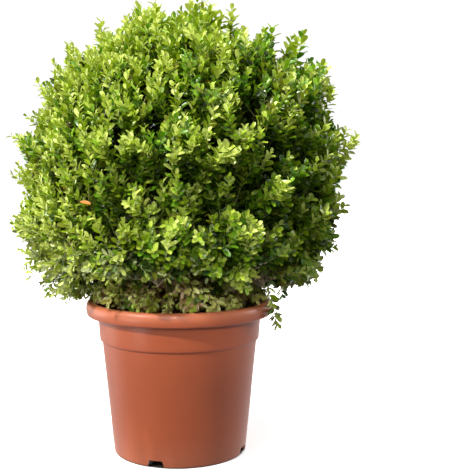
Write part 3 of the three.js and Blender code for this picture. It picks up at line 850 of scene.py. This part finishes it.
def grown_from_twigs(way, distance, stream, bend):
    """Curves to the tips at centre + way distance, each from a place on the twig nearest to it.

    Each rises to its tip: the control point lies back from the tip along unit(OUTWARD way + UPWARD lift Z), a
    little ASIDE by chance, where lift goes from 1 to 0.1 down the skirt.
    """
    count = np.arange(len(way))
    twig_root, twig_tip, twig_way, _ = list_twigs()
    lift = 1 - 0.9 * smooth(-way[:, 2:], 0.2, 0.62)
    heading = OUTWARD * way + UPWARD * lift * UP
    heading = unit(heading + ASIDE * across(heading, stream, count) * draw(stream + 1, count)[:, None])
    tip = BALL_CENTRE + way * distance[:, None]
    low = unit(tip - LOOK_BACK * heading - BALL_CENTRE)
    parent = np.argmax(low @ twig_way.T, axis=1)
    share = 0.8 * draw(stream + 2, count)[:, None]
    root = twig_root[parent] * (1 - share) + twig_tip[parent] * share
    near = np.linalg.norm(tip - root, axis=1) < SHORTEST_SHOOT
    root = np.where(near[:, None], tip - BACK * heading - INWARD * way, root)
    length = np.linalg.norm(tip - root, axis=1)
    control = tip - heading * (bend * length)[:, None]
    return dict(root=root, control=control, tip=tip, way=way, length=length * CURVED)


def with_looks(curve, **looks):
    """The curves with what their leaves go by: one number for each shoot, or one for all.

    depth darkens them as painted shade; long and clump brighten them, partly as painted light where they
    stand out;
    opened spreads them, turned lifts their faces to the light, and large adds to their size.
    """
    looks = dict(depth=0.0, long=True, clump=0.0, opened=6.0, turned=0.4, large=0.0) | looks
    return curve | {key: np.broadcast_to(value, len(curve["root"])) for key, value in looks.items()}


def outer_shoots():
    """The shoots that make the ball's face.

    Their reach is the ball's, with clumps some 90 mm across, cut back in hollows and over the pot, where
    their leaves get painted shade. Every fourth shoot is short, with painted shade, and every sixteenth long.
    Low on the left the ball is thinner.
    """
    way = shoot_ways(SHOOTS, 101)
    count = np.flatnonzero(draw(184, np.arange(SHOOTS)) > bareness(way))
    way = way[count]
    vigour = spots(way, SPRAYS)
    opening = spots(way, HOLLOWS) * (1 - 0.8 * vigour)
    clump = ripple(way * BALL_RADIUS, 103, 95) + 0.5 * ripple(way * BALL_RADIUS, 109, 48)
    kind = draw(102, 4 * count)
    short = kind < SHORT_SHARE * (1 - vigour)
    long = kind > 1 - LONG_SHARE
    reach = FACE_REACH - 0.004 + CLUMP_REACH * clump + REACH_SCATTER * swing(102, 4 * count + 1)
    reach = reach + VIGOUR_REACH * vigour
    reach = np.where(short, reach - 0.04 - 0.06 * draw(102, 4 * count + 2), reach)
    reach = np.where(long, reach + 0.03 + 0.07 * draw(102, 4 * count + 2), reach)
    distance = BALL_RADIUS * fullness(way[:, 2]) * outline_share(way) * np.minimum(reach, 1) * (1 - opening)
    return with_looks(
        grown_from_twigs(way, over_the_pot(way, distance, 102), 104, 0.6),
        # painted shade: short shoots and shoots in hollows get darker tints
        depth=np.where(short, 0.7, 0.0) + opening * 6 - vigour,
        long=long,
        clump=clump,
        opened=5 * way[:, 0] - 3 - 5 * smooth(way[:, 2], 0.2, 0.8),
        turned=0.28 + 0.25 * way[:, 0] + 0.5 * vigour * smooth(way[:, 0], 0.1, 0.5),
    )


def leaders():
    """The shoots that stand clear of the ball's outline, each with two shorter ones beside it."""
    degrees, share = np.repeat(np.array(TUFTS, float), 3, axis=0).T
    count = np.arange(len(degrees))
    beside = (count % 3) > 0
    angle = np.radians(degrees + beside * 2.5 * swing(180, 2 * count))
    way = unit(np.stack([np.sin(angle), 0.07 * swing(180, 2 * count + 1), np.cos(angle)], -1))
    distance = BALL_RADIUS * (1.018 * share - beside * 0.05 * (0.4 + draw(183, count))) - 12
    return with_looks(grown_from_twigs(way, distance, 181, 0.55), clump=1.0, large=0.1)


def face_sprays():
    """The single bright sprays of the ball's face, three shoots fanned over 4 degrees in each."""
    up, side, share = np.repeat(np.array(FACE_SPRAYS, float), 3, axis=0).T
    count = np.arange(len(up))
    fan = np.radians(2) * np.stack([swing(186, 2 * count), swing(186, 2 * count + 1)])
    way = directions(np.radians(up) + fan[0], np.radians(side) + fan[1])
    distance = BALL_RADIUS * FACE_REACH * fullness(way[:, 2]) * (share + 0.025 * swing(187, count))
    curve = grown_from_twigs(way, distance, 188, 0.55)
    return with_looks(curve, depth=-0.4, clump=0.2, turned=0.5, large=0.06)


def hanging_shoots():
    """Shoots that leave the low twigs, arch out over the rim and hang."""
    start, end, radius, height = np.array(HANGING_SHOOTS, float).T
    low, reach = HANGING_ROOT
    root = BALL_CENTRE + directions(np.radians(low), np.radians(start)) * reach
    control = around(radius - 4, np.radians(end), height + 34)
    tip = around(radius + 3, np.radians(end), height)
    length = np.linalg.norm(control - root, axis=1) + np.linalg.norm(tip - control, axis=1)
    curve = dict(root=root, control=control, tip=tip, way=unit(tip * [1, 1, 0]), length=length)
    return with_looks(curve, long=False, turned=1.3)


def over_the_pot(way, distance, stream):
    """Cuts distances back so that the underside is flat over the pot, and lifted in front of its rim."""
    azimuth = np.degrees(np.arctan2(way[:, 0], -way[:, 1]))
    front = FRONT_LIFT * smooth(LIFT_SPAN - np.abs(azimuth - LIFT_MIDDLE), 0, LIFT_FADE)
    depth = BALL_CENTRE[2] - UNDERSIDE_HEIGHT - front + 8 * smooth(-way[:, 0], 0.3, 0.7)
    depth = depth + UNDERSIDE_SCATTER * swing(stream, 4 * np.arange(len(way)) + 3)
    return np.where(way[:, 2] < -0.25, np.minimum(distance, depth / np.maximum(-way[:, 2], 0.25)), distance)


def inner_shoots():
    """Shorter shoots inside the others, with the old leaves, dark as painted shade, that close the ball to
    the eye.
    """
    way = shoot_ways(INNER_SHOOTS, 106)
    count = np.flatnonzero(draw(185, np.arange(INNER_SHOOTS)) > 1.3 * bareness(way))
    way = way[count]
    reach = (0.52 + 0.34 * draw(107, count)) * outline_share(way) * (1 - spots(way, HOLLOWS))
    distance = BALL_RADIUS * fullness(way[:, 2]) * reach
    return grown_from_twigs(way, over_the_pot(way, distance, 107), 108, 0.5)


def shoot_stems(curve, thick, thin):
    """The shoots' own stems: three-sided tubes tapering from thick to thin."""
    t = np.linspace(0, 1, STEM_RINGS)[None]
    centres = bezier(curve["root"], curve["control"], curve["tip"], t)
    return tubes(centres, thick + (thin - thick) * t, 3)


# Leaves


def leaf_shapes(base, along, face, length, width, curl):
    """Leaves: each an oval blade in four rows of faces, folded up along its midrib and curled at the tip.

    A point lies at base + along x + side y + face z, where x goes from 0 to 1 in the length, y is up to half
    the width, and z = LEAF_FOLD |y| - curl x^2.
    """
    x = np.concatenate([[0], np.repeat(LEAF_ROWS, 3), [1]])
    y = np.concatenate([[0], np.outer(LEAF_HALF_WIDTHS, [-1, 0, 1]).ravel(), [0]])
    side = np.cross(face, along)
    size = length[:, None]
    away = width[:, None] * y
    rise = LEAF_FOLD * np.abs(away) - curl[:, None] * x**2 * size
    shares = ((along, size * x), (side, away), (face, rise))
    points = base[:, None] + sum(way[:, None] * share[..., None] for way, share in shares)
    triangles = [(0, 2, 1), (0, 3, 2), (10, 7, 8), (10, 8, 9)]
    for a in (1, 2, 4, 5):
        triangles += [(a, a + 1, a + 4), (a, a + 4, a + 3)]
    step = (11 * np.arange(len(base)))[:, None, None]
    return points.reshape(-1, 3), [(np.array(triangles) + step).reshape(-1, 3)]


def shoot_leaves(curve, pairs, first, stream, size=1.0, opened=0.0, turned=0.4):
    """Opposite pairs along shoots, each a quarter turn on from the last, smaller and steeper towards the tip.

    A leaf stands TIP_SPREAD degrees off its stem at the tip, and up to MORE_AT_FOOT more down it, besides
    `opened`. Its face looks to the shoot's tip, and by the share `turned` up and outwards.
    Returns base, direction, face, length, age from 0 at the tip to 1 at the foot, and number of shoot.
    """
    path = curve["root"], curve["control"], curve["tip"]
    number, step = np.broadcast_arrays(np.arange(len(pairs))[:, None], np.arange(MOST_PAIRS))
    used = step < pairs[:, None]
    last = np.maximum(pairs[:, None] - 1, 1)
    place = np.clip(first[:, None] + (1 - first[:, None]) * step / last, 0, 1)
    age = 1 - step / last
    tangent = bezier_slope(*path, place)
    square = np.cross(tangent, across(tangent[:, -1], stream, number[:, 0])[:, None])
    turn = (step * math.pi / 2)[..., None]
    out = np.cross(square, tangent) * np.cos(turn) + square * np.sin(turn)
    light = np.reshape(turned, (-1, 1, 1)) * (LEAF_LIGHT + 0.8 * curve["way"][:, None])
    grown = 0.8 + 0.3 * smooth(age, 0.0, 0.3) - 0.1 * smooth(age, 0.6, 1.0)
    halves = []
    for half in (0, 1):
        ticket = (number * MOST_PAIRS + step) * 2 + half
        spread = TIP_SPREAD + MORE_AT_FOOT * age**0.6 + SPREAD_SCATTER * swing(stream + 1, ticket)
        spread = np.radians(spread + np.reshape(opened, (-1, 1)))[..., None]
        aside = squared(out * (1 - 2 * half) + 0.22 * chance(stream + 2, ticket), tangent)
        along = unit(tangent * np.cos(spread) + aside * np.sin(spread))
        face = tangent * np.sin(spread) - aside * np.cos(spread) + light + 0.6 * chance(stream + 3, ticket)
        length = size * LEAF_LENGTH * grown * (1 + LENGTH_SCATTER * swing(stream + 4, ticket))
        halves.append((bezier(*path, place), along, squared(face, along), length, age, number))
    return [np.concatenate([one[used], other[used]]) for one, other in zip(*halves)]


def outer_leaves(curve):
    """Leaves of the ball's face, brighter at the shoots' ends, and to the left and the top as painted light.

    A tint is one of the first six, by a shade that rises with the leaf's age and falls with the shoot's
    liveliness,
    which holds painted light and shade: lighter to the left, the top and low on the left, darker to the right
    and in the hollows. Some shoots have cooler or warmer tints, and some low ones olive or greyed ones.
    """
    way, length = curve["way"], curve["length"]
    right, low = way[:, 0], -way[:, 2]
    count = np.arange(len(way))
    pairs = np.clip(np.round(0.8 * length / INTERNODE), 5, MOST_PAIRS).astype(int)
    first = np.clip(1 - (pairs - 1) * INTERNODE / length, 0.1, 0.6)
    looks = curve["opened"], curve["turned"]
    base, along, face, size, age, shoot = shoot_leaves(curve, pairs, first, 110, 1.0, *looks)
    leaf = np.arange(len(base))
    size = size * (0.97 + 0.15 * right + 0.09 * swing(126, count) + curve["large"])[shoot]
    # a shoot's liveliness mixed with painted light and shade: lighter left, top and low left, darker right
    # and in hollows
    lively_and_lit = draw(120, count) - 0.35 * low - 0.22 * right - 0.5 * np.minimum(curve["depth"], 1.2)
    lively_and_lit = lively_and_lit + 0.14 * smooth(low, -0.4, 0.2) - 0.4 * smooth(right, 0.15, 0.6) * smooth(-low, 0.05, 0.5)
    lively_and_lit = lively_and_lit + 0.35 * curve["clump"] + 0.25 * curve["long"]
    lively_and_lit = lively_and_lit + (0.7 * smooth(-right, 0, 0.8) + 0.25 * smooth(right, 0.1, 0.7)) * smooth(low, 0, 0.5)
    shade = 2.7 - 2.5 * lively_and_lit[shoot] + 3.4 * age**1.3 + 1.7 * swing(121, leaf)
    tint = np.clip(np.round(shade), SUNLIT, SHADE).astype(int)
    hue = (draw(128, count) - 0.12 * right)[shoot] + 0.12 * swing(129, leaf)
    tint = np.select([hue < 0.26, hue > 0.8], [COOLER[tint], WARMER[tint]], tint)
    olive = 0.3 * smooth(low, 0.5, 0.68) * (1 - smooth(-right, 0.1, 0.5))
    tint = np.where((draw(122, count) < olive)[shoot], OLIVE, tint)
    # partly the leaves' paler grey-green, partly painted light: greyed leaves low on the left, where that
    # side is lit
    pale = 0.5 * smooth(low, 0.15, 0.5) * smooth(-right, -0.4, 0.3)
    tint = np.where((draw(123, count) < pale)[shoot] & (draw(127, leaf) < 0.45), GREY_GREEN, tint)
    tint = np.where(draw(124, leaf) < FEWEST_DEAD, DEAD, tint)
    caught = DEAD_LEAF, unit(np.array([1, -0.15, -0.16])), unit(np.array([0.1, -0.5, 0.86])), 15.0, DEAD
    leaves = zip((base, along, face, size, tint), caught)
    return [np.concatenate([part, np.array([one])]) for part, one in leaves]


def inner_leaves(curve):
    """Large old leaves in the three darkest tints, dark as painted shade inside the ball."""
    pairs = np.full(len(curve["root"]), INNER_PAIRS)
    first = np.clip(1 - (INNER_PAIRS - 1) * INNER_INTERNODE / curve["length"], 0.1, 0.6)
    *leaves, _, shoot = shoot_leaves(curve, pairs, first, 115, 1.15)
    kind = draw(125, shoot)
    return [*leaves, np.select([kind < 0.5, kind < 0.88], [GLOOM, SHADE], DEEP)]


def litter():
    """Fallen leaves, dry and olive, flat on the compost."""
    count = np.arange(FALLEN_LEAVES)
    radius = LITTER_REACH + LITTER_RANGE * draw(175, 4 * count) ** 0.45
    angle = TURN * draw(175, 4 * count + 1)
    base = around(radius, angle, compost_top(radius, angle) + 1.6)
    along = unit(around(1.0, TURN * draw(175, 4 * count + 2), 0.25 * swing(176, count)))
    face = squared(across(along, 177, count) + 2.5 * UP, along)
    size = LEAF_LENGTH * (0.8 + 0.35 * draw(175, 4 * count + 3))
    return [base, along, face, size, np.where(draw(178, count) < 0.7, DRY, OLIVE)]


def make_leaves(number, name, colour, glow, leaves):
    """The leaves of one tint, in as many pieces as their number asks."""
    finish = leaf_finish(name, colour, glow)
    count = np.arange(len(leaves[0]))
    pieces = []
    for part, some in enumerate(np.array_split(count, max(1, math.ceil(len(count) / MOST_LEAVES)))):
        base, along, face, size = (kind[some] for kind in leaves)
        slim = 1 + 0.1 * np.clip(base[:, 0] / 200, -1, 1)
        width = size * LEAF_WIDTH * slim * (1 + WIDTH_SCATTER * swing(130 + number, some))
        curl = LEAF_CURL + CURL_SCATTER * swing(140 + number, some)
        blades = leaf_shapes(base, along, face, size, width, curl)
        pieces.append(make_piece(f"{name}_{part + 1}", *blades, finish))
    return pieces


# The crown


def inner_branches():
    """Quadratic curves from each bough's tip to the roots of its mass's twigs, and on along these.

    Away from both ends they wander by up to 3 mm.
    """
    root, tip, _, mass = list_twigs()
    _, control, hub = bough_curves()
    hub = hub[mass]
    heading = unit(hub - control[mass])
    middle = hub + heading * (0.45 * np.linalg.norm(root - hub, axis=1))[:, None]
    along_twig = root[:, None] + (tip - root)[:, None] * np.array([[0.4], [0.8]])
    centres = np.concatenate([bezier(hub, middle, root, np.linspace(0, 1, 9)[None]), along_twig], 1)
    t = np.linspace(0, 1, centres.shape[1])
    centres = centres + BRANCH_WANDER * wander(centres, 150, 45) * np.sin(math.pi * t)[:, None]
    return tubes(centres, np.linspace(BRANCH_FOOT, BRANCH_TIP, len(t))[None], 6)


def basal_growth():
    """Thin brown twigs, quadratic curves from the boughs' feet to the ball's underside, and their leaves."""
    count = np.arange(BASAL_TWIGS)
    start, control, tip = bough_curves()
    bough = count % len(AXES)
    t = 0.06 + 0.4 * draw(160, 5 * count)
    root = bezier(start[bough], control[bough], tip[bough], t[:, None])[:, 0]
    angle = np.arctan2(root[:, 0], -root[:, 1]) + np.radians(50) * swing(160, 5 * count + 1)
    angle = np.where(bough == 0, TURN * draw(160, 5 * count + 1), angle)
    radius = BASAL_REACH + REACH_RANGE * draw(160, 5 * count + 2) ** 0.55
    height = BASAL_HEIGHT + HEIGHT_RANGE * draw(160, 5 * count + 3)
    height = np.where(radius > RIM_REACH, np.maximum(height, OVER_RIM), height)
    end = around(radius, angle, height)
    middle = (root + end) / 2 + [0, 0, 6] + 14 * across(unit(end - root), 161, count)
    curve = dict(root=root, control=middle, tip=end, way=unit(unit(end * [1, 1, 0]) + [0, 0, 0.6]))
    pairs = 3 + (count % 3)
    first = np.clip(1 - (pairs - 1) * BASAL_INTERNODE / np.linalg.norm(end - root, axis=1), 0.2, 0.9)
    grown = (0.54 + 0.7 * draw(168, count) ** 1.5)[:, None]
    base, along, face, size, _, twig = shoot_leaves(curve, pairs, first, 165, grown)
    face = squared(unit(face + [0, -0.2, 0.5]), along)
    kind = draw(170, twig)
    shares = [kind < 0.36, kind < 0.45, kind < 0.58, kind < 0.68, kind < 0.94]
    tint = np.select(shares, [OLIVE, SUNLIT, FRESH, WARM, DRY], DEEP)
    t = np.linspace(0, 1, 7)[None]
    twigs = tubes(bezier(root, middle, end, t), BASAL_FOOT - BASAL_TAPER * t, 4)
    return twigs, [base, along, face, size, tint]


def make_crown(rings):
    """Leaves sorted by their tints, the shoots that bear them, and the twigs and branches that bear those."""
    curves = [outer_shoots(), leaders(), hanging_shoots(), face_sprays()]
    outer = {key: np.concatenate([curve[key] for curve in curves]) for key in curves[0]}
    inner = inner_shoots()
    basal, basal_leaves = basal_growth()
    kinds = [outer_leaves(outer), inner_leaves(inner), basal_leaves, litter()]
    *leaves, tint = [np.concatenate(same) for same in zip(*kinds)]
    pieces = []
    for number, row in enumerate(TINTS):
        pieces += make_leaves(number, *row, [part[tint == number] for part in leaves])

    stems = joined([shoot_stems(outer, thick=1.05, thin=0.5), shoot_stems(inner, thick=1, thin=0.6)])
    uv = tube_uv(len(outer["root"]) + len(inner["root"]), STEM_RINGS, 3, 1 / MM, 1)
    shoots = make_piece("green_shoots", *stems, shoot_finish(), uv)
    twigs = make_piece("brown_twigs", *joined([inner_branches(), basal]), twig_finish())
    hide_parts(*[f"foliage_{ring}" for ring in rings])
    return pieces + [shoots, twigs]


# Stage, lights and camera


def make_stage():
    """A white floor that glows a little, so that it stays white far off; dark and unlit under the pot, a
    painted shadow.
    """
    finish = Finish("pale_floor", Roughness=0.9)
    # painted shadow: within the pot's foot the floor is near-black and does not glow
    clear = finish.span(finish.length(finish.place()), 0.096, 0.1)
    finish.paint(Base_Color=finish.mix(clear, (0.03, 0.02, 0.015, 1), (0.85, 0.85, 0.85, 1)))
    finish.paint(Emission_Color=finish.mix(clear, (0, 0, 0, 1), (1, 1, 1, 1)), Emission_Strength=FLOOR_GLOW)
    corners = FLOOR_HALF_SIDE * np.array([(-1, -1, 0), (1, -1, 0), (1, 1, 0), (-1, 1, 0)])
    floor = make_piece("floor", corners, [np.array([[0, 1, 2, 3]])], finish.material)
    for rays in ("diffuse", "glossy", "transmission", "shadow"):
        setattr(floor, f"visible_{rays}", False)


def set_up(name, data, place, way, axis="Z"):
    """A light or camera at a place, with its axis turned along way."""
    thing = bpy.data.objects.new(name, data)
    thing.location = place
    thing.rotation_mode = "QUATERNION"
    thing.rotation_quaternion = way.to_track_quat(axis, "Y")
    bpy.context.scene.collection.objects.link(thing)
    return thing


def make_sun(name, azimuth, elevation, spread, strength, colour):
    """An even light from one direction, with soft edges to its shadows."""
    data = bpy.data.lights.new(name, "SUN")
    data.angle, data.energy, data.color = math.radians(spread), strength, colour
    way = Vector(directions(math.radians(elevation), math.radians(azimuth)))
    set_up(name, data, 3 * way, way)


def make_spot(name, place, aim, cone, power, size):
    """A lamp of that size in metres with a soft cone of light, for a place that the suns leave dark."""
    data = bpy.data.lights.new(name, "SPOT")
    data.energy, data.shadow_soft_size = power, size
    data.spot_size, data.spot_blend = math.radians(cone), 0.9
    set_up(name, data, place, Vector(place) - Vector(aim))


def make_world():
    """White to the camera and in reflections, and for the object a weaker light, brighter from above."""
    world = bpy.data.worlds.new("studio")
    world.use_nodes = True
    sky = Nodes(world.node_tree)
    height = sky.part(sky.node("ShaderNodeTexCoord", out="Generated"), 2)
    light = LIGHT_BELOW + (LIGHT_ABOVE - LIGHT_BELOW) * sky.span(height, -0.06, 0.8)
    camera, glossy = (sky.node("ShaderNodeLightPath", out=f"Is {kind} Ray") for kind in ("Camera", "Glossy"))
    seen = sky.node("ShaderNodeMath", {"operation": "MAXIMUM"}, {0: camera, 1: glossy})
    background = sky.tree.nodes["Background"].inputs
    sky.put(background["Strength"], WHITE * seen + light * (1 - seen))
    sky.put(background["Color"], (1, 1, 1, 1))
    bpy.context.scene.world = world


def make_camera():
    """The photograph's viewing angle."""
    data = bpy.data.cameras.new("camera")
    data.lens, data.sensor_width = CAMERA_LENS, 36
    pitch, yaw = math.radians(CAMERA_PITCH), math.radians(CAMERA_YAW)
    look = Vector((math.sin(yaw) * math.cos(pitch), math.cos(yaw) * math.cos(pitch), math.sin(pitch)))
    bpy.context.scene.camera = set_up("camera", data, CAMERA_PLACE, look, "-Z")


make_camera()
make_stage()
make_sun("key_light", -55, 33, 2.5, 3.0, (1.0, 0.98, 0.94))
make_sun("top_light", -54, 66, 2.5, 4.2, (1.0, 0.97, 0.9))
make_sun("right_light", 100, 12, 20, 0.8, (1.0, 1.0, 1.0))
make_sun("left_light", -112, -3, 25, 0.6, (1.0, 0.99, 0.95))
make_sun("fill_light", -10, 60, 30, 0.8, (1.0, 0.98, 0.95))
make_spot("low_lamp", (-0.2, -1.09, 0.62), (-0.025, -0.11, 0.26), 7.4, 52, 0.1)
make_spot("low_right_lamp", (-0.05, -1.1, 0.62), (0.08, -0.1, 0.252), 6.8, 66, 0.1)
make_spot("low_left_lamp", (-0.95, -0.65, 0.03), (-0.14, -0.09, 0.28), 11, 34, 0.1)
make_world()
bpy.context.scene.view_settings.view_transform = "Standard"

everything = [make_pot(), make_compost()]
limbs, ring_names = make_limbs()
everything += limbs
everything += make_crown(ring_names)
for piece in everything:
    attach(piece, "root")
